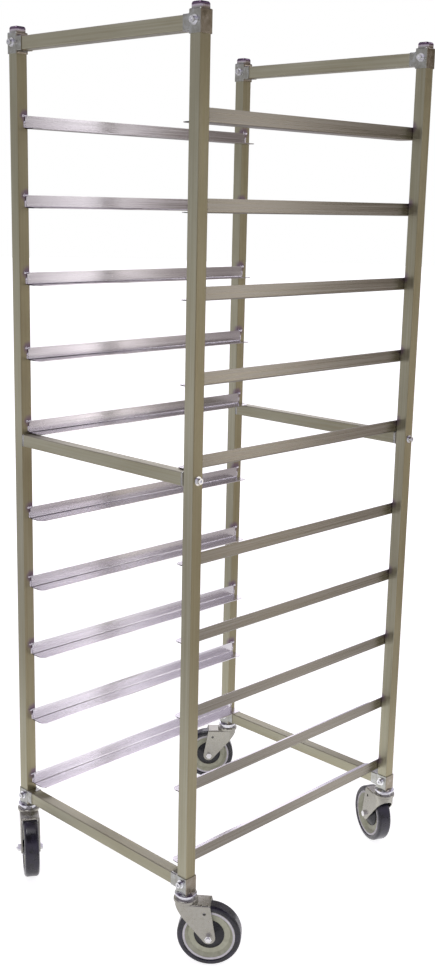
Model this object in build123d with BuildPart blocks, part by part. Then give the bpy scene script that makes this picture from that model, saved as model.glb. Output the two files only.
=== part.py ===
from build123d import *
import os

# Open sheet pan rack on four swivel casters.
# Origin: on the floor, at the middle of the four posts.  +X is the rack's right-hand side seen
# from its front, +Y runs from the front to the rear, +Z is up.  All sizes in millimetres.

os.makedirs("parts", exist_ok=True)

# ---------------------------------------------------------------- driving dimensions
POST_SPAN_X = 508.0            # post axis to post axis across the rack
POST_SPAN_Y = 640.0            # post axis to post axis from front to rear
TUBE = 25.4                    # square tube of the posts and crossbars
TUBE_WALL = 1.6
TUBE_CORNER = 2.0              # outside corner radius of the tube

WHEEL_RADIUS = 63.5            # 5 inch caster wheel
TREAD_WIDTH = 31.75
CASTER_HEIGHT = 150.0          # floor to the underside of the bottom corner castings
TRAIL = 48.0                   # swivel axis to axle, measured level

CASTING = 28.6                 # outside width of the square corner castings
BOTTOM_CASTING_HEIGHT = 34.0
BOTTOM_CASTING_FLOOR = 10.0    # solid floor that takes the caster stem
TOP_CASTING_BASE = 1739.0      # underside of the top corner castings
TOP_CASTING_HEIGHT = 39.5
TOP_SOCKET_DEPTH = 34.0
CASTING_CORNER = 1.6
CASTING_CHAMFER = 1.2
WEB_RADIUS = 4.5               # hollow webs above and below each top collar
COLLAR = 27.6                  # outside width of the collar that holds a crossbar end
COLLAR_LENGTH = 15.0
CAP_SIDE = 26.6                # square dome that closes each top casting
CAP_HEIGHT = 12.0
CAP_CORNER = 5.5
CAP_ROUND = 5.0

TOP_BAR_Z = 1757.5             # centre heights of the crossbars
MID_BAR_Z = 975.3
BOTTOM_BAR_Z = 170.0
TOP_BOLT_Z = 1760.0            # bolts through the top castings sit a little above their bars
PLUG_LENGTH = 12.0             # solid end plugs of the middle crossbars

LEVEL_PITCH = 152.4            # slide to slide
LEVELS_PER_GROUP = 5           # one group below the middle crossbars, one above
LOWER_GROUP_Z = 195.0          # underside of the lowest ledge
UPPER_GROUP_Z = 989.0          # underside of the first ledge above the middle crossbars
SLIDE_LENGTH = 630.0
SLIDE_THICKNESS = 1.6
FLANGE_HEIGHT = 25.4
LEDGE_WIDTH = 38.1
LEDGE_CORNER = 12.0
FLANGE_CORNER = 4.0
BEND_RADIUS = 3.6              # outside radius of the folded slide

BOLT_RADIUS = 3.0
BOLT_LENGTH = 38.0
BOLT_CLEARANCE = 0.1
BOLT_FLANGE_RADIUS = 8.5        # flange under the head
BOLT_FLANGE_THICKNESS = 1.5
BOLT_HEAD_RADIUS = 5.6
BOLT_HEAD_HEIGHT = 7.0
BOLT_SOCKET_FLATS = 5.0
BOLT_SOCKET_DEPTH = 3.0
NUT_FLATS = 10.0
NUT_HEIGHT = 5.0

CROWN_WIDTH = 42.0             # fork width over both legs
CROWN_TOP = 131.5
CROWN_TAIL = 50.0              # how far the crown reaches behind the swivel axis
FORK_PLATE = 2.8
LIP_Z = 122.5                  # lower edge of the lip around the crown
LEG_END_RADIUS = 13.5
CROWN_ROUND = 3.0
LEG_HOLE_AT = (39.0, 114.0)    # distance behind the swivel axis, height
LEG_HOLE_RADIUS = 3.2
LOWER_RACE_RADIUS = 24.0       # turning race, pressed onto the crown
LOWER_RACE_HEIGHT = 6.5
LOWER_RACE_ROUND = 2.4
SWIVEL_GAP = 0.4               # air between the turning and the fixed race
UPPER_RACE_RADIUS = 22.0
UPPER_RACE_NECK = 18.5         # recess between the two races
UPPER_RACE_RIM = (143.5, 148.5)    # lower and upper edge of the fixed race's rim
RACE_EDGE = 1.0
KINGPIN_RADIUS = 6.35
PIN_CLEARANCE = 0.05
KINGPIN_HEAD_RADIUS = 10.0
KINGPIN_HEAD_HEIGHT = 4.0
STEM_RADIUS = 5.5
STEM_TOP = 164.0

AXLE_RADIUS = 4.0
AXLE_HEAD_FLATS = 13.0
AXLE_HEAD_HEIGHT = 5.5
AXLE_NUT_HEIGHT = 7.0
AXLE_END = 3.5                 # thread standing out of the nut
SLEEVE_RADIUS = 6.0
HUB_RADIUS = 11.0
HUB_HALF_LENGTH = 17.4
CORE_RADIUS = 52.0
WEB_HALF_WIDTH = 6.0
RIM_HALF_WIDTH = 14.0
RIM_WIDTH = 4.5
DISH_WIDTH = 6.0               # sloping part between the rim and the web
RIM_EDGE = 0.8
GUARD_RADIUS = 30.0
GUARD_LIP = 2.5                # how far a guard's edge stands off the web
GUARD_NECK = 14.0              # radius where its cone meets its flat middle
GUARD_FACE = 17.0              # its outer face, from the wheel's middle
TYRE_SHOULDER = 6.5

# ---------------------------------------------------------------- worked-out values
HALF_X = POST_SPAN_X / 2
HALF_Y = POST_SPAN_Y / 2
POST_BASE = CASTER_HEIGHT + BOTTOM_CASTING_FLOOR
POST_TOP = TOP_CASTING_BASE + TOP_SOCKET_DEPTH
HOLE_RADIUS = BOLT_RADIUS + BOLT_CLEARANCE
CROWN_RADIUS = CROWN_WIDTH / 2
LEG_INSIDE = CROWN_RADIUS - FORK_PLATE
CASTING_BOLT_HEIGHTS = (TOP_BOLT_Z, BOTTOM_BAR_Z)
LOWER_RACE_TOP = CROWN_TOP + LOWER_RACE_HEIGHT
UPPER_RACE_BASE = LOWER_RACE_TOP + SWIVEL_GAP
COLLAR_REACH = CASTING / 2 + COLLAR_LENGTH    # post axis to the open end of a collar

# name: x, y of the post axis and the direction in which its caster trails, in degrees from +X
CORNERS = {
    "front_left": (-HALF_X, -HALF_Y, -33.0),
    "front_right": (HALF_X, -HALF_Y, 39.0),
    "rear_left": (-HALF_X, HALF_Y, 227.0),
    "rear_right": (HALF_X, HALF_Y, 155.5),
}
SIDES = {"left": -1, "right": 1}
ENDS = {"front": -1, "rear": 1}


def save(builder, name):
    """Label one finished piece and write its STEP file."""
    builder.part.label = name
    export_step(builder.part, f"parts/{name}.step")


def front_face(x, y, z, width):
    """Plane on the -Y face of a square piece of this width, looking out of the rack's front."""
    return Plane(origin=(x, y - width / 2, z), x_dir=(1, 0, 0), z_dir=(0, -1, 0))


def side_plane(x, y, z, sign):
    """Plane across the rack at x, facing +X (sign 1) or -X (sign -1)."""
    return Plane(origin=(x, y, z), x_dir=(0, 1, 0), z_dir=(sign, 0, 0))


def level_heights():
    """Underside heights of the ledges, lowest first."""
    lower = [LOWER_GROUP_Z + LEVEL_PITCH * step for step in range(LEVELS_PER_GROUP)]
    upper = [UPPER_GROUP_Z + LEVEL_PITCH * step for step in range(LEVELS_PER_GROUP)]
    return lower + upper


# ---------------------------------------------------------------- posts
def make_post(name, x, y):
    with BuildPart() as post:
        with BuildSketch(Plane.XY.offset(POST_BASE).move(Location((x, y, 0)))):
            RectangleRounded(TUBE, TUBE, TUBE_CORNER)
            RectangleRounded(
                TUBE - 2 * TUBE_WALL, TUBE - 2 * TUBE_WALL, TUBE_CORNER - TUBE_WALL, mode=Mode.SUBTRACT
            )
        extrude(amount=POST_TOP - POST_BASE)
        for height in CASTING_BOLT_HEIGHTS:
            with Locations(front_face(x, y, height, TUBE)):
                Hole(HOLE_RADIUS, depth=TUBE)
        with Locations(side_plane(x + TUBE / 2, y, MID_BAR_Z, 1)):
            Hole(HOLE_RADIUS, depth=TUBE)
    save(post, f"post_{name}")


# ---------------------------------------------------------------- corner castings
def level_square(x, y, z):
    """Level plane at height z, centred on a post."""
    return Plane.XY.offset(z).move(Location((x, y, 0)))


def web_plane(x, y, z, inward, upward):
    """Corner between a casting's inner face and its collar: x points along the collar, y away from it."""
    return Plane(origin=(x, y, z), x_dir=(inward, 0, 0), z_dir=(0, -inward * upward, 0))


def make_top_casting(name, x, y, inward):
    casting_top = TOP_CASTING_BASE + TOP_CASTING_HEIGHT
    inner_face = x + inward * CASTING / 2
    with BuildPart() as casting:
        with BuildSketch(level_square(x, y, TOP_CASTING_BASE)):
            RectangleRounded(CASTING, CASTING, CASTING_CORNER)
        extrude(amount=TOP_CASTING_HEIGHT)
        chamfer(casting.faces().sort_by(Axis.Z)[-1].edges(), CASTING_CHAMFER)
        with BuildSketch(level_square(x, y, casting_top)):
            RectangleRounded(CAP_SIDE - CASTING_CHAMFER, CAP_SIDE - CASTING_CHAMFER, CAP_CORNER)
        extrude(amount=CAP_HEIGHT)
        fillet(casting.faces().sort_by(Axis.Z)[-1].edges(), CAP_ROUND)
        with BuildSketch(side_plane(x, y, TOP_BAR_Z, inward)):
            RectangleRounded(COLLAR, COLLAR, TUBE_CORNER)
        extrude(amount=COLLAR_REACH)
        for upward in (1, -1):
            with BuildSketch(web_plane(inner_face, y, TOP_BAR_Z + upward * COLLAR / 2, inward, upward)):
                Rectangle(WEB_RADIUS, WEB_RADIUS, align=(Align.MIN, Align.MIN))
                with Locations((WEB_RADIUS, WEB_RADIUS)):
                    Circle(WEB_RADIUS, mode=Mode.SUBTRACT)
            extrude(amount=COLLAR / 2 - TUBE_CORNER, both=True)
        with BuildSketch(side_plane(inner_face, y, TOP_BAR_Z, inward)):
            RectangleRounded(TUBE, TUBE, TUBE_CORNER)
        extrude(amount=COLLAR_LENGTH, mode=Mode.SUBTRACT)
        with BuildSketch(level_square(x, y, TOP_CASTING_BASE)):
            RectangleRounded(TUBE, TUBE, TUBE_CORNER)
        extrude(amount=TOP_SOCKET_DEPTH, mode=Mode.SUBTRACT)
        with Locations(front_face(x, y, TOP_BOLT_Z, CASTING)):
            Hole(HOLE_RADIUS, depth=CASTING)
    save(casting, f"top_casting_{name}")


def make_bottom_casting(name, x, y, inward):
    with BuildPart() as casting:
        with BuildSketch(level_square(x, y, CASTER_HEIGHT)):
            RectangleRounded(CASTING, CASTING, CASTING_CORNER)
        extrude(amount=BOTTOM_CASTING_HEIGHT)
        chamfer(casting.faces().sort_by(Axis.Z)[0].edges(), CASTING_CHAMFER)
        with BuildSketch(side_plane(x, y, BOTTOM_BAR_Z, inward)):
            RectangleRounded(COLLAR, COLLAR, TUBE_CORNER)
        extrude(amount=COLLAR_REACH)
        with BuildSketch(side_plane(x + inward * CASTING / 2, y, BOTTOM_BAR_Z, inward)):
            RectangleRounded(TUBE, TUBE, TUBE_CORNER)
        extrude(amount=COLLAR_LENGTH, mode=Mode.SUBTRACT)
        with BuildSketch(level_square(x, y, POST_BASE)):
            RectangleRounded(TUBE, TUBE, TUBE_CORNER)
        extrude(amount=BOTTOM_CASTING_HEIGHT, mode=Mode.SUBTRACT)
        with Locations(front_face(x, y, BOTTOM_BAR_Z, CASTING)):
            Hole(HOLE_RADIUS, depth=CASTING)
        with Locations(level_square(x, y, POST_BASE)):
            Hole(STEM_RADIUS + PIN_CLEARANCE, depth=BOTTOM_CASTING_FLOOR)
    save(casting, f"bottom_casting_{name}")


# ---------------------------------------------------------------- crossbars
def make_socketed_bar(name, y, z):
    """Plain tube whose ends sit in the collars of two castings."""
    with BuildPart() as bar:
        with BuildSketch(side_plane(0, y, z, 1)):
            RectangleRounded(TUBE, TUBE, TUBE_CORNER)
            RectangleRounded(
                TUBE - 2 * TUBE_WALL, TUBE - 2 * TUBE_WALL, TUBE_CORNER - TUBE_WALL, mode=Mode.SUBTRACT
            )
        extrude(amount=(POST_SPAN_X - CASTING) / 2, both=True)
    save(bar, name)


def make_bolted_bar(name, y, z):
    """Tube with welded end plugs, tapped for the bolts that come through the posts."""
    half_length = (POST_SPAN_X - TUBE) / 2
    with BuildPart() as bar:
        with BuildSketch(side_plane(0, y, z, 1)):
            RectangleRounded(TUBE, TUBE, TUBE_CORNER)
        extrude(amount=half_length, both=True)
        with BuildSketch(side_plane(0, y, z, 1)):
            RectangleRounded(TUBE - 2 * TUBE_WALL, TUBE - 2 * TUBE_WALL, TUBE_CORNER - TUBE_WALL)
        extrude(amount=half_length - PLUG_LENGTH, both=True, mode=Mode.SUBTRACT)
        for sign in SIDES.values():
            with Locations(side_plane(sign * half_length, y, z, sign)):
                Hole(HOLE_RADIUS, depth=PLUG_LENGTH)
    save(bar, name)


# ---------------------------------------------------------------- slides
def make_slide(name, sign, z):
    """Folded angle on the inner faces of two posts: upright flange outside, ledge inside."""
    flange_x = sign * (HALF_X - TUBE / 2)
    inner = BEND_RADIUS - SLIDE_THICKNESS
    with BuildPart() as slide:
        profile = Plane(origin=(flange_x, 0, z), x_dir=(-sign, 0, 0), z_dir=(0, sign, 0))
        with BuildSketch(profile):
            with BuildLine():
                FilletPolyline(
                    (LEDGE_WIDTH, 0), (0, 0), (0, FLANGE_HEIGHT), radius=BEND_RADIUS
                )
                Line((0, FLANGE_HEIGHT), (SLIDE_THICKNESS, FLANGE_HEIGHT))
                FilletPolyline(
                    (SLIDE_THICKNESS, FLANGE_HEIGHT),
                    (SLIDE_THICKNESS, SLIDE_THICKNESS),
                    (LEDGE_WIDTH, SLIDE_THICKNESS),
                    radius=inner,
                )
                Line((LEDGE_WIDTH, SLIDE_THICKNESS), (LEDGE_WIDTH, 0))
            make_face()
        extrude(amount=SLIDE_LENGTH / 2, both=True)
        tip_edges = slide.edges().filter_by(Axis.Z).group_by(Axis.X)[-1 if sign < 0 else 0]
        fillet(tip_edges, LEDGE_CORNER)
        flange_edges = slide.edges().filter_by(Axis.X).group_by(Axis.Z)[-1]
        fillet(flange_edges, FLANGE_CORNER)
    save(slide, name)


# ---------------------------------------------------------------- bolts of the frame
def make_frame_bolts():
    """Identical socket-head bolts; those through a casting also carry a nut on the far side."""
    casting_planes = [
        front_face(x, y, height, CASTING) for x, y, _ in CORNERS.values() for height in CASTING_BOLT_HEIGHTS
    ]
    bar_planes = []
    for x, y, _ in CORNERS.values():
        outward = 1 if x > 0 else -1
        bar_planes.append(side_plane(x + outward * TUBE / 2, y, MID_BAR_Z, outward))
    with BuildPart() as bolts:
        for plane in casting_planes + bar_planes:
            with BuildSketch(plane):
                Circle(BOLT_FLANGE_RADIUS)
            extrude(amount=BOLT_FLANGE_THICKNESS)
            with BuildSketch(plane):
                Circle(BOLT_HEAD_RADIUS)
            extrude(amount=BOLT_FLANGE_THICKNESS + BOLT_HEAD_HEIGHT)
            with BuildSketch(plane):
                Circle(BOLT_RADIUS)
            extrude(amount=-BOLT_LENGTH)
            with BuildSketch(plane.offset(BOLT_FLANGE_THICKNESS + BOLT_HEAD_HEIGHT)):
                RegularPolygon(BOLT_SOCKET_FLATS / 2, 6, major_radius=False)
            extrude(amount=-BOLT_SOCKET_DEPTH, mode=Mode.SUBTRACT)
        for plane in casting_planes:
            with BuildSketch(plane.offset(-CASTING)):
                RegularPolygon(NUT_FLATS / 2, 6, major_radius=False)
                Circle(HOLE_RADIUS, mode=Mode.SUBTRACT)
            extrude(amount=-NUT_HEIGHT)
    save(bolts, "frame_bolts")


# ---------------------------------------------------------------- casters
def caster_frame(x, y, trail_angle):
    """Level plane at the floor under a post; its x axis points the way the caster trails."""
    return Plane(origin=(x, y, 0), z_dir=(0, 0, 1)).rotated((0, 0, trail_angle))


def upright_frame(x, y, trail_angle):
    """Plane through the swivel axis and the wheel's middle: x trails, y is up."""
    level = caster_frame(x, y, trail_angle)
    return Plane(origin=level.origin, x_dir=level.x_dir, z_dir=-level.y_dir)


def axle_frame(x, y, trail_angle):
    """Plane at the wheel's centre whose normal is the axle and whose y axis is up."""
    upright = upright_frame(x, y, trail_angle)
    return Plane(
        origin=upright.from_local_coords((TRAIL, WHEEL_RADIUS, 0)),
        x_dir=upright.x_dir,
        z_dir=upright.z_dir,
    )


def crown_outline(radius, tail):
    """Half disc around the swivel axis, drawn out to a straight tail."""
    Circle(radius)
    with Locations((tail / 2, 0)):
        Rectangle(tail, 2 * radius)


def make_fork(name, x, y, trail_angle):
    level = caster_frame(x, y, trail_angle)
    upright = upright_frame(x, y, trail_angle)
    with BuildPart() as fork:
        with BuildSketch(level):
            crown_outline(CROWN_RADIUS, CROWN_TAIL)
            with Locations((TRAIL, 0)):
                Rectangle(2 * LEG_END_RADIUS, CROWN_WIDTH)
        extrude(amount=CROWN_TOP)
        with BuildSketch(upright):
            with Locations(((CROWN_TAIL - CROWN_RADIUS) / 2, (CROWN_TOP + LIP_Z) / 2)):
                Rectangle(CROWN_TAIL + CROWN_RADIUS, CROWN_TOP - LIP_Z)
            with Locations((TRAIL, WHEEL_RADIUS)):
                Circle(LEG_END_RADIUS)
            make_hull()
        extrude(amount=CROWN_WIDTH, both=True, mode=Mode.INTERSECT)
        fillet(fork.faces().sort_by(Axis.Z)[-1].edges(), CROWN_ROUND)
        with BuildSketch(level):
            crown_outline(LEG_INSIDE, CROWN_TAIL + CROWN_WIDTH)
        extrude(amount=CROWN_TOP - FORK_PLATE, mode=Mode.SUBTRACT)
        with BuildSketch(level.offset(CROWN_TOP)):
            Circle(LOWER_RACE_RADIUS)
        extrude(amount=LOWER_RACE_HEIGHT)
        fillet(fork.faces().sort_by(Axis.Z)[-1].edges(), LOWER_RACE_ROUND)
        with Locations(level.offset(LOWER_RACE_TOP)):
            Hole(KINGPIN_RADIUS + PIN_CLEARANCE, depth=LOWER_RACE_HEIGHT + FORK_PLATE)
        with BuildSketch(upright):
            with Locations(LEG_HOLE_AT):
                Circle(LEG_HOLE_RADIUS)
            with Locations((TRAIL, WHEEL_RADIUS)):
                Circle(AXLE_RADIUS + BOLT_CLEARANCE)
        extrude(amount=CROWN_WIDTH, both=True, mode=Mode.SUBTRACT)
    save(fork, f"fork_{name}")


def make_axle(name, x, y, trail_angle):
    """Axle bolt, its nut and the sleeve that the wheel turns on."""
    axle = axle_frame(x, y, trail_angle)
    with BuildPart() as parts:
        with BuildSketch(axle.offset(CROWN_RADIUS + AXLE_NUT_HEIGHT + AXLE_END)):
            Circle(AXLE_RADIUS)
        extrude(amount=-(CROWN_WIDTH + AXLE_NUT_HEIGHT + AXLE_END))
        with BuildSketch(axle.offset(-CROWN_RADIUS)):
            RegularPolygon(AXLE_HEAD_FLATS / 2, 6, major_radius=False)
        extrude(amount=-AXLE_HEAD_HEIGHT)
        with BuildSketch(axle.offset(CROWN_RADIUS)):
            RegularPolygon(AXLE_HEAD_FLATS / 2, 6, major_radius=False)
            Circle(AXLE_RADIUS + BOLT_CLEARANCE, mode=Mode.SUBTRACT)
        extrude(amount=AXLE_NUT_HEIGHT)
        with BuildSketch(axle):
            Circle(SLEEVE_RADIUS)
            Circle(AXLE_RADIUS + BOLT_CLEARANCE, mode=Mode.SUBTRACT)
        extrude(amount=LEG_INSIDE, both=True)
    save(parts, f"axle_{name}")


def make_wheel_core(name, x, y, trail_angle):
    axle = axle_frame(x, y, trail_angle)
    bore = SLEEVE_RADIUS + PIN_CLEARANCE
    lip = CORE_RADIUS - RIM_WIDTH
    outline = [
        (bore, 0),
        (bore, HUB_HALF_LENGTH),
        (HUB_RADIUS, HUB_HALF_LENGTH),
        (HUB_RADIUS, WEB_HALF_WIDTH),
        (lip - DISH_WIDTH, WEB_HALF_WIDTH),
        (lip, RIM_HALF_WIDTH - RIM_EDGE),
        (lip + RIM_EDGE, RIM_HALF_WIDTH),
        (CORE_RADIUS, RIM_HALF_WIDTH),
        (CORE_RADIUS, 0),
    ]
    with BuildPart() as core:
        with BuildSketch(Plane(origin=axle.origin, x_dir=axle.x_dir, z_dir=-axle.y_dir)):
            Polygon(*outline, align=None)
            mirror(about=Plane.XZ)
        revolve(axis=Axis(axle.origin, axle.z_dir))
    save(core, f"wheel_core_{name}")


def make_tyre(name, x, y, trail_angle):
    axle = axle_frame(x, y, trail_angle)
    with BuildPart() as tyre:
        with BuildSketch(Plane(origin=axle.origin, x_dir=axle.x_dir, z_dir=-axle.y_dir)) as profile:
            with Locations(((WHEEL_RADIUS + CORE_RADIUS) / 2, 0)):
                Rectangle(WHEEL_RADIUS - CORE_RADIUS, TREAD_WIDTH)
            outer = profile.vertices().sort_by(Axis.X)[-2:]
            inner = profile.vertices().sort_by(Axis.X)[:2]
            chamfer(inner, TREAD_WIDTH / 2 - RIM_HALF_WIDTH)
            fillet(outer, TYRE_SHOULDER)
        revolve(axis=Axis(axle.origin, axle.z_dir))
    save(tyre, f"tyre_{name}")


def make_thread_guards(name, x, y, trail_angle):
    """Two shallow cones that keep thread and grease away from the hub, one on each side of the wheel."""
    axle = axle_frame(x, y, trail_angle)
    bore = HUB_RADIUS + PIN_CLEARANCE
    outline = [
        (bore, WEB_HALF_WIDTH),
        (GUARD_RADIUS, WEB_HALF_WIDTH),
        (GUARD_RADIUS, WEB_HALF_WIDTH + GUARD_LIP),
        (GUARD_NECK, GUARD_FACE),
        (bore, GUARD_FACE),
    ]
    with BuildPart() as guards:
        with BuildSketch(Plane(origin=axle.origin, x_dir=axle.x_dir, z_dir=-axle.y_dir)):
            Polygon(*outline, align=None)
            mirror(about=Plane.XZ)
        revolve(axis=Axis(axle.origin, axle.z_dir))
    save(guards, f"thread_guards_{name}")


def make_caster_stems():
    """Fixed half of each swivel: threaded stem, upper race and kingpin in one turned piece."""
    head_top = CROWN_TOP - FORK_PLATE - SWIVEL_GAP
    head_base = head_top - KINGPIN_HEAD_HEIGHT
    rim_base, rim_top = UPPER_RACE_RIM
    with BuildPart() as stems:
        for x, y, _ in CORNERS.values():
            with BuildSketch(Plane(origin=(x, y, 0), x_dir=(1, 0, 0), z_dir=(0, -1, 0))):
                Polygon(
                    (0, head_base),
                    (KINGPIN_HEAD_RADIUS, head_base),
                    (KINGPIN_HEAD_RADIUS, head_top),
                    (KINGPIN_RADIUS, head_top),
                    (KINGPIN_RADIUS, UPPER_RACE_BASE),
                    (UPPER_RACE_NECK, UPPER_RACE_BASE),
                    (UPPER_RACE_NECK, rim_base),
                    (UPPER_RACE_RADIUS - RACE_EDGE, rim_base),
                    (UPPER_RACE_RADIUS, rim_base + RACE_EDGE),
                    (UPPER_RACE_RADIUS, rim_top - RACE_EDGE),
                    (UPPER_RACE_RADIUS - RACE_EDGE, rim_top),
                    (CASTING / 2, CASTER_HEIGHT),
                    (STEM_RADIUS, CASTER_HEIGHT),
                    (STEM_RADIUS, STEM_TOP),
                    (0, STEM_TOP),
                    align=None,
                )
            revolve(axis=Axis((x, y, 0), (0, 0, 1)))
    save(stems, "caster_stems")


# ---------------------------------------------------------------- build everything
for corner, (post_x, post_y, trail) in CORNERS.items():
    toward_middle = -1 if post_x > 0 else 1
    make_post(corner, post_x, post_y)
    make_top_casting(corner, post_x, post_y, toward_middle)
    make_bottom_casting(corner, post_x, post_y, toward_middle)
    make_fork(corner, post_x, post_y, trail)
    make_axle(corner, post_x, post_y, trail)
    make_wheel_core(corner, post_x, post_y, trail)
    make_tyre(corner, post_x, post_y, trail)
    make_thread_guards(corner, post_x, post_y, trail)

for end, end_sign in ENDS.items():
    make_socketed_bar(f"crossbar_top_{end}", end_sign * HALF_Y, TOP_BAR_Z)
    make_bolted_bar(f"crossbar_middle_{end}", end_sign * HALF_Y, MID_BAR_Z)
    make_socketed_bar(f"crossbar_bottom_{end}", end_sign * HALF_Y, BOTTOM_BAR_Z)

for number, height in enumerate(level_heights(), start=1):
    for side_name, side_sign in SIDES.items():
        make_slide(f"slide_{side_name}_{number:02d}", side_sign, height)

make_frame_bolts()
make_caster_stems()
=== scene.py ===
from math import cos, pi, radians, sin, sqrt

import bmesh
import bpy
from mathutils import Matrix, Vector


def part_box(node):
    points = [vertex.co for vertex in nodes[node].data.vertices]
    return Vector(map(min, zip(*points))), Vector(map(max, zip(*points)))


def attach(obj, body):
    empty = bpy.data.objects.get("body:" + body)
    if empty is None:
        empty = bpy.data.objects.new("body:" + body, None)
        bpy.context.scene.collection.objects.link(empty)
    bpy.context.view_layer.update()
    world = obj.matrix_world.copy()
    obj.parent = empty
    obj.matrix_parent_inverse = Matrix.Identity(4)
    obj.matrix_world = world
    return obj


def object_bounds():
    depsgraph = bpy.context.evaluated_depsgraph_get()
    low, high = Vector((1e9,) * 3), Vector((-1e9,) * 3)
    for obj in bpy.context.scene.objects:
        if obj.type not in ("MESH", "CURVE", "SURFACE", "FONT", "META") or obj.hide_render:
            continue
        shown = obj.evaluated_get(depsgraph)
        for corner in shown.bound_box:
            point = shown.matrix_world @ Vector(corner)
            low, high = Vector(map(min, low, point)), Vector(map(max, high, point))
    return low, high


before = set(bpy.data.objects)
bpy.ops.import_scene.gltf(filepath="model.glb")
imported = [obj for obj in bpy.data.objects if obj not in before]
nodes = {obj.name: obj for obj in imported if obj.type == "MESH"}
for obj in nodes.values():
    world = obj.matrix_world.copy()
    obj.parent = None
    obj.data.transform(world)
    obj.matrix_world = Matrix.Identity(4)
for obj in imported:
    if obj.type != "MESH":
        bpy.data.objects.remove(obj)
cad_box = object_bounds()

MM = 0.001
CORNERS = ["front_left", "front_right", "rear_left", "rear_right"]
SIDES = ["left", "right"]
ENDS = ["front", "rear"]
LEVELS = 10
LEVELS_PER_GROUP = 5
AXIS_VECTORS = {"X": (1, 0, 0), "Y": (0, 1, 0), "Z": (0, 0, 1)}

rack_top = cad_box[1].z
post_inner_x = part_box("post_front_right")[0].x


def slide_top(level):
    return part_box(f"slide_left_{level:02d}")[1].z


# ---------------------------------------------------------------- node trees

NOISE_LOW = 0.3      # nearly all of a noise pattern lies between these two
NOISE_HIGH = 0.7


class Nodes:
    """Short calls that add nodes to a tree and link them."""

    def __init__(self, tree, place):
        self.tree = tree
        self.place = self.node("ShaderNodeTexCoord").outputs[place]

    def node(self, kind, **settings):
        node = self.tree.nodes.new(kind)
        for key, value in settings.items():
            setattr(node, key, value)
        return node

    def feed(self, socket, value):
        """A number or colour is set on the socket; an output is linked to it."""
        if isinstance(value, bpy.types.NodeSocket):
            self.tree.links.new(value, socket)
        else:
            socket.default_value = value

    def math(self, operation, *values):
        node = self.node("ShaderNodeMath", operation=operation)
        for socket, value in zip(node.inputs, values):
            self.feed(socket, value)
        return node.outputs[0]

    def length(self, *parts):
        """The length of a vector with these parts."""
        squares = [self.math("POWER", part, 2.0) for part in parts]
        total = squares[0]
        for square in squares[1:]:
            total = self.math("ADD", total, square)
        return self.math("SQRT", total)

    def blend(self, first, second, share):
        """Two patterns added, the first with this share and the second with the rest."""
        return self.math("ADD", self.math("MULTIPLY", first, share),
                         self.math("MULTIPLY", second, 1 - share))

    def noise(self, scale, detail=3.0, rough=0.5):
        """The scale is in features per metre: one number, or one for each axis."""
        mapping = self.node("ShaderNodeMapping")
        self.feed(mapping.inputs["Vector"], self.place)
        mapping.inputs["Scale"].default_value = scale if isinstance(scale, tuple) else (scale,) * 3
        node = self.node("ShaderNodeTexNoise")
        self.feed(node.inputs["Vector"], mapping.outputs[0])
        node.inputs["Scale"].default_value = 1.0
        node.inputs["Detail"].default_value = detail
        node.inputs["Roughness"].default_value = rough
        return node.outputs["Fac"]

    def ramp(self, factor, *stops):
        """Stops are (position, (r, g, b))."""
        node = self.node("ShaderNodeValToRGB")
        self.feed(node.inputs[0], factor)
        elements = node.color_ramp.elements
        while len(elements) < len(stops):
            elements.new(1.0)
        for element, (position, colour) in zip(elements, stops):
            element.position = position
            element.color = (*colour, 1.0)
        return node.outputs[0]

    def tones(self, factor, spread, colours):
        """A ramp through two or three colours, spaced evenly about the middle of the factor."""
        steps = len(colours) - 1
        return self.ramp(factor, *((0.5 + spread * (2 * index / steps - 1), colour)
                                   for index, colour in enumerate(colours)))

    def band(self, value, low, high, to_low=0.0, to_high=1.0):
        """Smoothly maps low..high to to_low..to_high."""
        node = self.node("ShaderNodeMapRange", interpolation_type="SMOOTHSTEP")
        for socket, number in zip(node.inputs, (value, low, high, to_low, to_high)):
            self.feed(socket, number)
        return node.outputs[0]

    def mix(self, factor, first, second, blend_type="MIX"):
        node = self.node("ShaderNodeMix", data_type="RGBA", blend_type=blend_type)
        self.feed(node.inputs["Factor"], factor)
        for socket, colour in ((node.inputs[6], first), (node.inputs[7], second)):
            self.feed(socket, (*colour, 1.0) if isinstance(colour, tuple) else colour)
        return node.outputs[2]

    def axis(self, letter, of=None):
        node = self.node("ShaderNodeSeparateXYZ")
        self.feed(node.inputs[0], of if of is not None else self.place)
        return node.outputs["XYZ".index(letter)]

    def toward(self, azimuth):
        """How far the coordinates reach in a level direction, given in degrees from +X."""
        node = self.node("ShaderNodeVectorMath", operation="DOT_PRODUCT")
        self.feed(node.inputs[0], self.place)
        node.inputs[1].default_value = (cos(radians(azimuth)), sin(radians(azimuth)), 0)
        return node.outputs["Value"]


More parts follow.
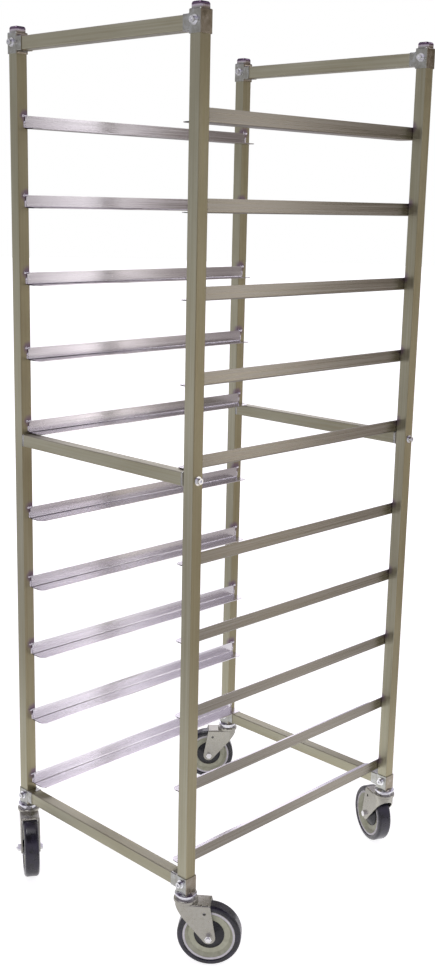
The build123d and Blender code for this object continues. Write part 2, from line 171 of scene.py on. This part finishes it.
class Shader(Nodes):
    """A material under construction around one Principled surface."""

    def __init__(self, name, metallic, roughness):
        self.material = bpy.data.materials.new(name)
        self.material.use_nodes = True
        super().__init__(self.material.node_tree, "Object")
        self.surface = self.tree.nodes["Principled BSDF"]
        self.set("Metallic", metallic)
        self.set("Roughness", roughness)

    def set(self, name, value):
        self.feed(self.surface.inputs[name], value)

    def roughen(self, pattern, smooth, rough, high=NOISE_HIGH):
        """Roughness that follows a noise pattern."""
        self.set("Roughness", self.band(pattern, NOISE_LOW, high, smooth, rough))

    def bump(self, height, strength, distance):
        node = self.node("ShaderNodeBump")
        self.feed(node.inputs["Height"], height)
        node.inputs["Strength"].default_value = strength
        node.inputs["Distance"].default_value = distance
        self.set("Normal", node.outputs[0])

    def normal(self):
        return self.node("ShaderNodeNewGeometry").outputs["Normal"]

    def painted_side_shade(self, colour, tint):
        """Multiplies the colour by a painted shade tint on faces that look to the rack's right."""
        facing = self.band(self.axis("X", self.normal()), 0.3, 0.9)
        return self.mix(facing, colour, self.mix(1.0, colour, tint, "MULTIPLY"))

    def brush(self, direction, amount):
        """Stretches highlights across the brushing direction."""
        cross = self.node("ShaderNodeVectorMath", operation="CROSS_PRODUCT")
        self.feed(cross.inputs[0], self.normal())
        cross.inputs[1].default_value = direction
        self.set("Tangent", cross.outputs[0])
        self.set("Anisotropic", amount)


def across(axis, fine, coarse):
    """A noise scale that is fine across an axis and coarse along it."""
    return tuple(coarse if letter == axis else fine for letter in "XYZ")


# ---------------------------------------------------------------- materials

TUBE_TONES = ((0.37, 0.345, 0.24), (0.425, 0.41, 0.30), (0.49, 0.48, 0.37))
# painted shade: a warm, darker tint for the tube's faces to the rack's right
TUBE_PAINTED_SHADE = (0.85, 0.79, 0.69)
HEAT_VIOLET = (0.20, 0.13, 0.22)


def brushed_tube(name, axis, weld_tint=False):
    """Satin olive-grey tube, streaked along its length, with painted warm shade on faces to the rack's right.
    """
    shader = Shader(name, 1.0, 0.4)
    streaks = shader.noise(across(axis, 330, 3.5), 4, 0.6)
    drift = shader.noise(across(axis, 25, 5), 2)
    colour = shader.tones(shader.blend(streaks, drift, 0.6), 0.16, TUBE_TONES)
    # painted shade on faces that look to the rack's right
    colour = shader.painted_side_shade(colour, TUBE_PAINTED_SHADE)
    if weld_tint:
        colour = shader.mix(weld_heat(shader), colour, HEAT_VIOLET)
    shader.set("Base Color", colour)
    shader.roughen(streaks, 0.30, 0.44)
    shader.brush(AXIS_VECTORS[axis], 0.6)
    shader.bump(shader.noise(across(axis, 2600, 30), 2), 0.18, 0.2 * MM)
    return shader.material


HEAT_INSET = 1.5 * MM      # from a slide's end to the middle of its stain
HEAT_CORE = 2 * MM         # full strength up to here
HEAT_REACH = 13 * MM       # gone from here on
HEAT_RAGGED = 8 * MM       # how far noise moves the stain's edge
HEAT_STRENGTH = 0.75


def weld_heat(shader):
    """A stain that fades out around each weld on the posts' inner faces."""
    lower_start = slide_top(1)
    upper_start = slide_top(LEVELS_PER_GROUP + 1)
    pitch = slide_top(2) - lower_start
    between_groups = (slide_top(LEVELS_PER_GROUP) + upper_start) / 2
    stain_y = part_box("slide_left_01")[1].y - HEAT_INSET
    z = shader.axis("Z")
    in_upper = shader.math("GREATER_THAN", z, between_groups)
    start = shader.math("MULTIPLY_ADD", in_upper, upper_start - lower_start, lower_start)
    up = shader.math("PINGPONG", shader.math("SUBTRACT", z, start), pitch / 2)
    out = shader.math("SUBTRACT", shader.math("ABSOLUTE", shader.axis("X")), post_inner_x)
    back = shader.math("SUBTRACT", shader.math("ABSOLUTE", shader.axis("Y")), stain_y)
    ragged = shader.math("MULTIPLY", shader.noise(160), HEAT_RAGGED)
    distance = shader.math("SUBTRACT", shader.length(up, out, back), ragged)
    return shader.band(distance, HEAT_CORE, HEAT_REACH, HEAT_STRENGTH, 0.0)


PAN_SIDE_TONES = ((0.48, 0.45, 0.48), (0.60, 0.575, 0.605), (0.73, 0.71, 0.735))
# painted shade: darker tones for the slides' outer faces and undersides
BACK_SIDE_PAINTED_SHADE = ((0.25, 0.23, 0.185), (0.31, 0.285, 0.24), (0.37, 0.35, 0.31))
# painted highlight: a paler colour on the lower slides, mostly on upright faces
PAINTED_HIGHLIGHT = (1.0, 0.98, 1.0)
PAINTED_HIGHLIGHT_HEIGHTS = (0.25, 1.0)      # metres: full below the first, none above the second
PAINTED_HIGHLIGHT_SHARES = (0.2, 0.95)       # on level faces and on upright ones
BACK_SIDE_ROUGHER = 0.1


def slide_sheet(name, outward):
    """Rolled sheet, bright on the pan side; painted highlight toward the floor, painted shade outside and
    beneath.
    """
    shader = Shader(name, 1.0, 0.2)
    streaks = shader.noise(across("Y", 420, 2.2), 4, 0.6)
    clouds = shader.noise((18, 6, 18), 3)
    bright = shader.tones(shader.blend(streaks, clouds, 0.55), 0.18, PAN_SIDE_TONES)
    painted_shade = shader.tones(streaks, 0.2, BACK_SIDE_PAINTED_SHADE)
    normal = shader.normal()
    by_facing = shader.band(shader.math("ABSOLUTE", shader.axis("X", normal)), 0.3, 0.8, *PAINTED_HIGHLIGHT_SHARES)
    by_height = shader.band(shader.axis("Z"), *PAINTED_HIGHLIGHT_HEIGHTS, 1.0, 0.0)
    # painted highlight, strongest low down on upright faces
    bright = shader.mix(shader.math("MULTIPLY", by_facing, by_height), bright, PAINTED_HIGHLIGHT)
    # painted shade on the outer faces and undersides
    outer = shader.math("MULTIPLY", shader.axis("X", normal), outward)
    under = shader.math("MULTIPLY", shader.axis("Z", normal), -1.0)
    back_side = shader.band(shader.math("MAXIMUM", outer, under), 0.3, 0.7)
    shader.set("Base Color", shader.mix(back_side, bright, painted_shade))
    pan_side_roughness = shader.band(streaks, NOISE_LOW, NOISE_HIGH, 0.15, 0.24)
    extra = shader.math("MULTIPLY", back_side, BACK_SIDE_ROUGHER)
    shader.set("Roughness", shader.math("ADD", pan_side_roughness, extra))
    shader.brush(AXIS_VECTORS["Y"], 0.4)
    shader.bump(shader.noise(across("Y", 900, 6), 2), 0.12, 0.2 * MM)
    return shader.material


CASTING_TONES = ((0.37, 0.37, 0.335), (0.44, 0.445, 0.41), (0.54, 0.555, 0.55))
# painted shade: a warm, darker tint for the castings' faces to the rack's right
CASTING_PAINTED_SHADE = (0.76, 0.66, 0.56)
# painted reflections on the caps: a pale highlight band below a dark crown
CAP_PAINTED_HIGHLIGHT = (0.68, 0.61, 0.70)
CAP_PAINTED_DARK_REFLECTION = (0.16, 0.11, 0.165)
PAINTED_HIGHLIGHT_BAND = (rack_top - 10.0 * MM, rack_top - 6.5 * MM)      # where it starts and is full
PAINTED_DARK_CROWN = (rack_top - 6.0 * MM, rack_top - 4.0 * MM)
CAP_RAGGED = 2 * MM


def cast_metal():
    """Cool, patchy casting with painted shade on faces to the rack's right and painted reflections on the
    caps: a pale band and a dark crown.
    """
    shader = Shader("casting", 1.0, 0.2)
    clouds = shader.noise(95, 3)
    # painted shade on faces that look to the rack's right
    colour = shader.painted_side_shade(shader.tones(clouds, 0.2, CASTING_TONES), CASTING_PAINTED_SHADE)
    ragged = shader.math("MULTIPLY", shader.noise(300), CAP_RAGGED)
    height = shader.math("ADD", shader.axis("Z"), ragged)
    # painted reflections: a pale band and then a dark crown toward the top of each cap
    colour = shader.mix(shader.band(height, *PAINTED_HIGHLIGHT_BAND), colour, CAP_PAINTED_HIGHLIGHT)
    colour = shader.mix(shader.band(height, *PAINTED_DARK_CROWN), colour, CAP_PAINTED_DARK_REFLECTION)
    shader.set("Base Color", colour)
    shader.roughen(clouds, 0.16, 0.26)
    shader.bump(shader.noise(160, 2), 0.12, 0.3 * MM)
    return shader.material


PLATED_NOISE_HIGH = 0.75


def plated(name, dark, pale, roughness, smudge=0.12):
    """Smooth plated metal, cloudy between two colours and rougher by the smudge in its paler patches."""
    shader = Shader(name, 1.0, roughness)
    clouds = shader.noise(140, 4, 0.65)
    shader.set("Base Color", shader.tones(clouds, 0.15, (dark, pale)))
    shader.roughen(clouds, roughness, roughness + smudge, high=PLATED_NOISE_HIGH)
    shader.bump(shader.noise(180, 2), 0.08, 0.2 * MM)
    return shader.material


def plastic(name, dark, pale, roughness, grain):
    """Moulded plastic, cloudy between two colours, with grain in features per metre."""
    shader = Shader(name, 0.0, roughness)
    clouds = shader.noise(70, 4, 0.6)
    shader.set("Base Color", shader.tones(clouds, 0.15, (dark, pale)))
    shader.roughen(clouds, roughness - 0.06, roughness + 0.08)
    shader.bump(shader.noise(grain, 2), 0.2, 0.2 * MM)
    return shader.material


RUBBER_TONES = ((0.008, 0.009, 0.010), (0.026, 0.023, 0.044))
DUST = (0.16, 0.17, 0.15)
DUSTY_NOISE = (0.6, 0.82)         # dust shows from the first, and is thickest from the second
DUST_COVER = 0.3


def rubber():
    """Near-black tread with a bluish bloom and dust in patches."""
    shader = Shader("tyre", 0.0, 0.3)
    bloom = shader.noise(40, 4, 0.65)
    dust = shader.noise(260, 4, 0.7)
    clean = shader.tones(bloom, 0.15, RUBBER_TONES)
    cover = shader.band(dust, *DUSTY_NOISE, 0.0, DUST_COVER)
    shader.set("Base Color", shader.mix(cover, clean, DUST))
    shader.roughen(bloom, 0.20, 0.34)
    shader.set("Sheen Weight", 0.1)
    shader.set("Coat Weight", 0.35)
    shader.set("Coat Roughness", 0.12)
    shader.bump(dust, 0.25, 0.4 * MM)
    return shader.material


materials = {
    "post": brushed_tube("post", "Z", weld_tint=True),
    "crossbar": brushed_tube("crossbar", "X"),
    "slide_left": slide_sheet("slide_left", -1.0),
    "slide_right": slide_sheet("slide_right", 1.0),
    "casting": cast_metal(),
    "bolt": plated("bolt", (0.76, 0.77, 0.78), (0.97, 0.98, 1.0), 0.12),
    "race": plated("race", (0.66, 0.66, 0.72), (0.94, 0.94, 0.97), 0.08, 0.06),
    "fork": plated("fork", (0.40, 0.39, 0.335), (0.46, 0.45, 0.405), 0.25),
    "axle": plated("axle", (0.72, 0.72, 0.71), (0.95, 0.95, 0.96), 0.12),
    "wheel_core": plastic("wheel_core", (0.50, 0.51, 0.37), (0.63, 0.64, 0.50), 0.32, 900),
    "thread_guard": plastic("thread_guard", (0.007, 0.008, 0.010), (0.018, 0.019, 0.024), 0.26, 1200),
    # painted highlight on the wheels' rim lips
    "painted_rim_highlight": plastic("painted_rim_highlight", (0.70, 0.68, 0.70), (0.86, 0.84, 0.88), 0.25, 900),
    "tyre": rubber(),
    "weld": plated("weld", (0.66, 0.62, 0.68), (0.93, 0.91, 0.95), 0.14),
}

node_finish = {
    "post": "post", "crossbar": "crossbar", "slide_left": "slide_left", "slide_right": "slide_right",
    "top_casting": "casting", "bottom_casting": "casting", "frame_bolts": "bolt", "caster_stems": "race",
    "fork": "fork", "axle": "axle", "wheel_core": "wheel_core", "tyre": "tyre",
    "thread_guards": "thread_guard",
}

for node_name, node_object in nodes.items():
    finish = next(value for key, value in node_finish.items() if node_name.startswith(key))
    for slot in node_object.material_slots:
        slot.material = materials[finish]


# ---------------------------------------------------------------- pieces

def piece(name, mesh_builder, material, body, smooth=True):
    """A new mesh object that rides on a body."""
    mesh = bpy.data.meshes.new(name)
    builder = bmesh.new()
    mesh_builder(builder)
    bmesh.ops.recalc_face_normals(builder, faces=builder.faces)
    for face in builder.faces:
        face.smooth = smooth
    builder.to_mesh(mesh)
    builder.free()
    thing = bpy.data.objects.new(name, mesh)
    bpy.context.scene.collection.objects.link(thing)
    mesh.materials.append(materials[material])
    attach(thing, body)


def join_loops(builder, near, far):
    """Four-sided faces between two closed loops with the same number of points."""
    for step in range(len(near)):
        following = (step + 1) % len(near)
        builder.faces.new((near[step], near[following], far[following], far[step]))


BEAD_RINGS = 25
BEAD_SIDES = 12
BEAD_RIPPLES = 4
BEAD_RIPPLE_DEPTH = 0.10


def add_bead(builder, start, end, radius, thickness):
    """A closed, rippled weld bead from start to end; its thickness along X is a share of its width."""
    start = Vector(start)
    end = Vector(end)
    along = (end - start).normalized()
    outward = Vector((1, 0, 0))
    sideways = along.cross(outward)
    rings = []
    for ring in range(1, BEAD_RINGS):
        share = ring / BEAD_RINGS
        swell = sqrt(1 - (2 * share - 1) ** 4)
        ripple = 1 - BEAD_RIPPLE_DEPTH * abs(sin(BEAD_RIPPLES * pi * share))
        centre = start.lerp(end, share)
        circle = []
        for step in range(BEAD_SIDES):
            angle = 2 * pi * step / BEAD_SIDES
            offset = outward * cos(angle) * thickness + sideways * sin(angle)
            circle.append(builder.verts.new(centre + offset * radius * swell * ripple))
        rings.append(circle)
    for near, far in zip(rings, rings[1:]):
        join_loops(builder, near, far)
    for tip, circle in ((start, rings[0]), (end, rings[-1])):
        point = builder.verts.new(tip)
        for step in range(BEAD_SIDES):
            builder.faces.new((point, circle[step], circle[(step + 1) % BEAD_SIDES]))


BEAD_OFF_POST = 0.6 * MM             # from the post's face to a bead's centre line

CORNER_BEAD_OUT = 8 * MM             # past the slide's end, onto the post
CORNER_BEAD_IN = 5 * MM              # back along the flange
CORNER_BEAD_OUTER_DROP = 0.8 * MM    # below the flange's top edge
CORNER_BEAD_INNER_DROP = 0.2 * MM
CORNER_BEAD_RADIUS = 3.0 * MM
CORNER_BEAD_THICKNESS = 1.1

EDGE_BEAD_OUT = 1.6 * MM             # past the slide's end
EDGE_BEAD_FROM = 2 * MM              # above the flange's bottom
EDGE_BEAD_TO = 16 * MM
EDGE_BEAD_RADIUS = 2.8 * MM
EDGE_BEAD_THICKNESS = 0.8


def weld_beads(side):
    """Two beads where each end of each slide meets its post: over the flange's corner and down its edge."""
    def build(builder):
        outward = -1 if side == "left" else 1
        face_x = outward * (post_inner_x - BEAD_OFF_POST)
        for level in range(1, LEVELS + 1):
            low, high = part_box(f"slide_{side}_{level:02d}")
            for facing, edge_y in ((-1, low.y), (1, high.y)):
                add_bead(builder,
                         (face_x, edge_y + facing * CORNER_BEAD_OUT, high.z - CORNER_BEAD_OUTER_DROP),
                         (face_x, edge_y - facing * CORNER_BEAD_IN, high.z - CORNER_BEAD_INNER_DROP),
                         CORNER_BEAD_RADIUS, CORNER_BEAD_THICKNESS)
                beside = edge_y + facing * EDGE_BEAD_OUT
                add_bead(builder, (face_x, beside, low.z + EDGE_BEAD_FROM),
                         (face_x, beside, low.z + EDGE_BEAD_TO), EDGE_BEAD_RADIUS, EDGE_BEAD_THICKNESS)
    return build


for side in SIDES:
    piece(f"weld_beads_{side}", weld_beads(side), "weld", "frame")


SLEEVE_GAP = 0.1 * MM        # from the bar's end to the sleeve
SLEEVE_LENGTH = 6 * MM       # from the bar's end to the sleeve's inner edge
SLEEVE_PROUD = 0.4 * MM
SLEEVE_CHAMFER = 0.5 * MM
SLEEVE_EDGE = 0.05 * MM      # still proud at the foot of the chamfer
SLEEVE_SUNK = 0.4 * MM       # its hidden side lies this deep in the bar
SLEEVE_CORNER = 2.2 * MM
SLEEVE_CORNER_STEPS = 5


def rounded_square(half, corner, x, centre_y, centre_z):
    """Points round a square across the X axis, from half its side and its corner radius."""
    points = []
    for quarter in range(4):
        turn = quarter * pi / 2
        for step in range(SLEEVE_CORNER_STEPS + 1):
            angle = turn + step / SLEEVE_CORNER_STEPS * pi / 2
            middle = Vector((half - corner, half - corner))
            middle.rotate(Matrix.Rotation(turn, 2))
            points.append(Vector((x, centre_y + middle.x + corner * cos(angle),
                                  centre_z + middle.y + corner * sin(angle))))
    return points


def bar_end_caps(end):
    """A thin sleeve round each end of a middle crossbar."""
    def build(builder):
        low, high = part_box(f"crossbar_middle_{end}")
        centre_y = (low.y + high.y) / 2
        centre_z = (low.z + high.z) / 2
        half = (high.y - low.y) / 2
        profile = [(SLEEVE_GAP, SLEEVE_PROUD), (SLEEVE_LENGTH - SLEEVE_CHAMFER, SLEEVE_PROUD),
                   (SLEEVE_LENGTH, SLEEVE_EDGE), (SLEEVE_LENGTH, -SLEEVE_SUNK), (SLEEVE_GAP, -SLEEVE_SUNK)]
        for end_x, inward in ((low.x, 1), (high.x, -1)):
            loops = [[builder.verts.new(point) for point in
                      rounded_square(half + proud, SLEEVE_CORNER, end_x + inward * reach, centre_y, centre_z)]
                     for reach, proud in profile]
            for near, far in zip(loops, loops[1:] + loops[:1]):
                join_loops(builder, near, far)
    return build


for end in ENDS:
    piece(f"bar_end_caps_{end}", bar_end_caps(end), "casting", "frame")


# painted highlight: a pale ring laid over each wheel's rim lip
RIM_INNER = 47.6 * MM
RIM_OUTER = 51.6 * MM
RIM_FACE = 14.0 * MM         # from the wheel's middle plane to the face of its rim
RIM_PROUD = 0.25 * MM
RIM_STEPS = 96


def painted_rim_highlights(corner):
    """A pale flat band on the rim of each side of a wheel: a painted highlight on the rim's lip."""
    def build(builder):
        wheel_low, wheel_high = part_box(f"wheel_core_{corner}")
        post_low, post_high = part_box(f"post_{corner}")
        centre = (wheel_low + wheel_high) / 2
        trail = centre - (post_low + post_high) / 2
        trail.z = 0
        trail.normalize()
        axle = trail.cross(Vector((0, 0, 1)))
        profile = [(RIM_INNER, RIM_FACE - RIM_PROUD), (RIM_INNER, RIM_FACE + RIM_PROUD),
                   (RIM_OUTER, RIM_FACE + RIM_PROUD), (RIM_OUTER, RIM_FACE - RIM_PROUD)]
        for side_sign in (-1, 1):
            loops = []
            for step in range(RIM_STEPS):
                angle = 2 * pi * step / RIM_STEPS
                spoke = trail * cos(angle) + Vector((0, 0, sin(angle)))
                loops.append([builder.verts.new(centre + spoke * radius + axle * side_sign * reach)
                              for radius, reach in profile])
            for near, far in zip(loops, loops[1:] + loops[:1]):
                join_loops(builder, near, far)
    return build


for corner in CORNERS:
    piece(f"painted_rim_highlights_{corner}", painted_rim_highlights(corner), "painted_rim_highlight", f"wheel_{corner}", smooth=False)


# ---------------------------------------------------------------- camera, floor and light

# The camera that was fitted to the edges of the posts, slides and crossbars in the photograph.
SENSOR_WIDTH = 36
LENS = 45.477
CAMERA_PLACE = (1.79945, -1.83723, 1.46289)
CAMERA_TURN = (77.0652, -1.2126, 44.6242)


def make_camera():
    data = bpy.data.cameras.new("camera")
    data.sensor_width = SENSOR_WIDTH
    data.lens = LENS
    camera = bpy.data.objects.new("camera", data)
    camera.location = CAMERA_PLACE
    camera.rotation_euler = [radians(angle) for angle in CAMERA_TURN]
    bpy.context.scene.collection.objects.link(camera)
    bpy.context.scene.camera = camera


GLARE_START = (-0.24, -0.14)
GLARE_AZIMUTH = radians(40.5)
GLARE_HALF_WIDTH = 0.20
GLARE_WIDENING = 0.05        # half-width gained for each metre along the streak
GLARE_STRENGTH = 0.40


def window_glare(shader):
    """A widening streak of light on the floor, from under the left slides toward the window."""
    east = shader.math("SUBTRACT", shader.axis("X"), GLARE_START[0])
    north = shader.math("SUBTRACT", shader.axis("Y"), GLARE_START[1])
    along = shader.math("ADD", shader.math("MULTIPLY", east, cos(GLARE_AZIMUTH)),
                        shader.math("MULTIPLY", north, sin(GLARE_AZIMUTH)))
    aside = shader.math("SUBTRACT", shader.math("MULTIPLY", north, cos(GLARE_AZIMUTH)),
                        shader.math("MULTIPLY", east, sin(GLARE_AZIMUTH)))
    width = shader.math("MULTIPLY_ADD", along, GLARE_WIDENING, GLARE_HALF_WIDTH)
    from_middle = shader.math("DIVIDE", shader.math("ABSOLUTE", aside), width)
    return shader.band(from_middle, 0.0, 1.0, GLARE_STRENGTH, 0.0)


FLOOR_RADIUS = 30
FLOOR_SIDES = 96
FLOOR_TONES = ((0.78, 0.775, 0.76), (0.82, 0.815, 0.80))
FLOOR_GLOW = (1.0, 1.0, 1.0)
CAMERA_GLOW = (0.80, 1.0)                # near the rack and far from it
CAMERA_GLOW_REACH = (1.0, 4.0)           # metres from the rack's middle
MIRRORED_GLOW = (0.46, 0.17)
MIRRORED_GLOW_REACH = (0.5, 1.8)
WARM_GLOW = (1.0, 0.90, 0.62)            # mirrored from beyond the rack
WARM_REACH = (1.4, 2.6)
WARM_AZIMUTH = 45
WARM_SIDE = (0.8, 1.6)                   # metres toward that azimuth


def make_floor():
    """A pale floor that glows: near white to the camera but for contact shadows, and dimmer in metal."""
    mesh = bpy.data.meshes.new("floor")
    builder = bmesh.new()
    bmesh.ops.create_circle(builder, cap_ends=True, segments=FLOOR_SIDES, radius=FLOOR_RADIUS)
    builder.to_mesh(mesh)
    builder.free()
    floor = bpy.data.objects.new("floor", mesh)
    bpy.context.scene.collection.objects.link(floor)
    shader = Shader("floor", 0.0, 0.9)
    shader.set("Base Color", shader.tones(shader.noise(30, 4), 0.2, FLOOR_TONES))
    reach = shader.length(shader.axis("X"), shader.axis("Y"))
    path = shader.node("ShaderNodeLightPath")
    far_side = shader.math("MULTIPLY", shader.band(reach, *WARM_REACH),
                           shader.band(shader.toward(WARM_AZIMUTH), *WARM_SIDE))
    warm = shader.math("MULTIPLY", far_side, path.outputs["Is Glossy Ray"])
    shader.set("Emission Color", shader.mix(warm, FLOOR_GLOW, WARM_GLOW))
    for_camera = shader.math("MULTIPLY", path.outputs["Is Camera Ray"],
                             shader.band(reach, *CAMERA_GLOW_REACH, *CAMERA_GLOW))
    sheen = shader.math("ADD", shader.band(reach, *MIRRORED_GLOW_REACH, *MIRRORED_GLOW),
                        window_glare(shader))
    for_metal = shader.math("MULTIPLY", path.outputs["Is Glossy Ray"], sheen)
    shader.set("Emission Strength", shader.math("ADD", for_camera, for_metal))
    mesh.materials.append(shader.material)


def aim(thing, target):
    thing.rotation_euler = (Vector(target) - thing.location).to_track_quat("-Z", "Y").to_euler()


def area_light(name, location, target, width, height, radiance, colour=(1, 1, 1), mirrored=True):
    """A soft panel, unseen by the camera. Radiance is what a mirror would show of it."""
    data = bpy.data.lights.new(name, "AREA")
    data.shape = "RECTANGLE"
    data.size = width
    data.size_y = height
    data.energy = radiance * width * height * pi
    data.color = colour
    light = bpy.data.objects.new(name, data)
    light.location = location
    aim(light, target)
    light.visible_camera = False
    light.visible_glossy = mirrored
    bpy.context.scene.collection.objects.link(light)


WALL_TONES = ((0.0, (0.42, 0.41, 0.40)), (0.10, (0.50, 0.485, 0.51)), (0.40, (0.60, 0.57, 0.66)),
              (0.62, (0.64, 0.60, 0.71)), (0.80, (0.12, 0.09, 0.15)), (1.0, (0.06, 0.045, 0.08)))
FAR_CORNER = (0.24, 0.21, 0.18)
FAR_CORNER_AZIMUTH = 56
FAR_CORNER_EDGE = (0.90, 0.97)           # cosines of the angle from that azimuth
SKY_RISE = (-0.05, 1.0)                  # sines of the elevation where the wall's tones start and end


def make_world():
    """White behind the object. What lights it is a pale wall, a dark ceiling and a dim far corner."""
    world = bpy.data.worlds.new("room")
    bpy.context.scene.world = world
    world.use_nodes = True
    world.node_tree.nodes.clear()
    room = Nodes(world.node_tree, "Generated")
    by_height = room.ramp(room.band(room.axis("Z"), *SKY_RISE), *WALL_TONES)
    in_corner = room.band(room.toward(FAR_CORNER_AZIMUTH), *FAR_CORNER_EDGE)
    white = room.node("ShaderNodeBackground")
    white.inputs[0].default_value = (1, 1, 1, 1)
    walls = room.node("ShaderNodeBackground")
    room.feed(walls.inputs[0], room.mix(in_corner, by_height, FAR_CORNER))
    mix = room.node("ShaderNodeMixShader")
    room.feed(mix.inputs[0], room.node("ShaderNodeLightPath").outputs["Is Camera Ray"])
    room.feed(mix.inputs[1], walls.outputs[0])
    room.feed(mix.inputs[2], white.outputs[0])
    room.feed(room.node("ShaderNodeOutputWorld").inputs[0], mix.outputs[0])


make_camera()
make_floor()
make_world()
area_light("ceiling", (-0.6, -0.8, 4.2), (0, 0, 0), width=1.3, height=1.3, radiance=7.0)
area_light("skylight", (1.4, 3.6, 4.3), (0, 0, 1.0), width=0.9, height=0.9, radiance=2.5)
area_light("window", (2.09, 1.76, 1.2), (-0.24, -0.15, 1.2), width=0.4, height=1.7, radiance=1.6,
           colour=(0.98, 0.97, 1.0))
area_light("wall", (-3.4, 3.2, 2.4), (0, 0, 0.3), width=1.8, height=1.8, radiance=1.1,
           colour=(0.96, 0.93, 1.0))
area_light("fill", (3.4, -3.6, 1.0), (0, 0, 0.5), width=2.4, height=1.6, radiance=3.2, mirrored=False)
bpy.context.scene.view_settings.view_transform = "Standard"
